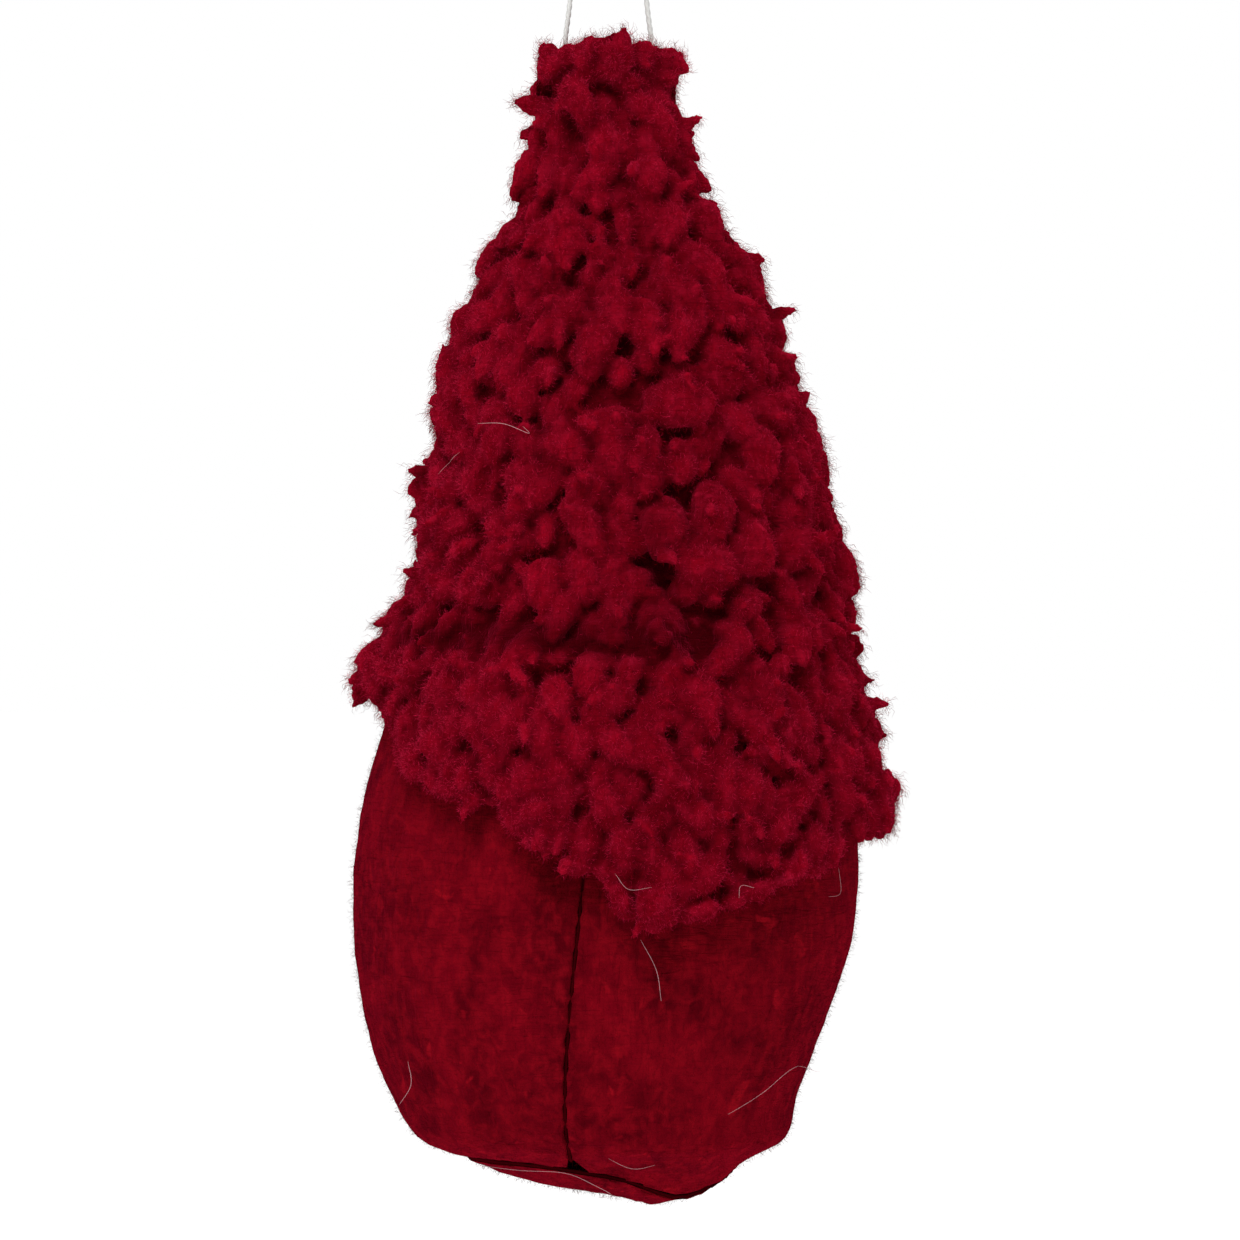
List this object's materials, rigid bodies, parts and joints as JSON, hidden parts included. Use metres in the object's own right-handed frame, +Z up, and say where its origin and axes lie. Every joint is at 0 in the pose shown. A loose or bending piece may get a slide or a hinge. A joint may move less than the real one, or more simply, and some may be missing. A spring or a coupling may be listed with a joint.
{
  "type": "hanging gnome ornament",
  "caption": "Hanging tomte gnome ornament: egg-shaped felt sack body under a tall curly fleece hat, with a wooden nose, a fur beard and a thin cord loop.",
  "frame": {"origin": "the top of the cord loop, on the cord's centre line, where a hook holds the ornament", "axes": "+Z up along the hanging ornament, its face towards -Y and its back towards +Y, +X to the gnome's own left"},
  "size_m": [0.0775, 0.0809, 0.2219],
  "materials": {
    "pale_cord": "twisted light grey cord",
    "crimson_fleece": "curly pile fleece, matt and fuzzy",
    "red_thread": "matt sewing thread",
    "white_filling": "loose polyester fibre",
    "clear_glue": "set hot-melt glue",
    "red_felt": "wool-like felt with a short nap",
    "cream_fur": "long soft pile",
    "pale_wood": "sanded bare wood"
  },
  "bodies": {
    "hanger": {"hanging_loop": "pale_cord"},
    "gnome": {"cord_knot": "pale_cord", "hat_back_panel": "crimson_fleece", "hat_front_panel": "crimson_fleece", "hat_seam_thread_left": "red_thread", "hat_seam_thread_right": "red_thread", "hat_filling": "white_filling", "hat_glue": "clear_glue", "body_left_panel": "red_felt", "body_right_panel": "red_felt", "back_seam_thread": "red_thread", "front_seam_thread": "red_thread", "base_panel": "red_felt", "base_seam_thread": "red_thread", "neck_tie": "red_thread", "body_filling": "white_filling", "beard_top": "cream_fur", "nose": "pale_wood"},
    "beard": {"beard_flap": "cream_fur"}
  },
  "joints": [
    {"name": "loop_swing", "type": "hinge", "parent": "hanger", "child": "gnome", "pos_m": [0, 0, -0.0536], "axis": [1, 0, 0], "range_deg": [-90, 90]},
    {"name": "beard_lift", "type": "hinge", "parent": "gnome", "child": "beard", "pos_m": [0, -0.0355, -0.1748], "axis": [-1, 0, 0], "range_deg": [0, 60]}
  ]
}
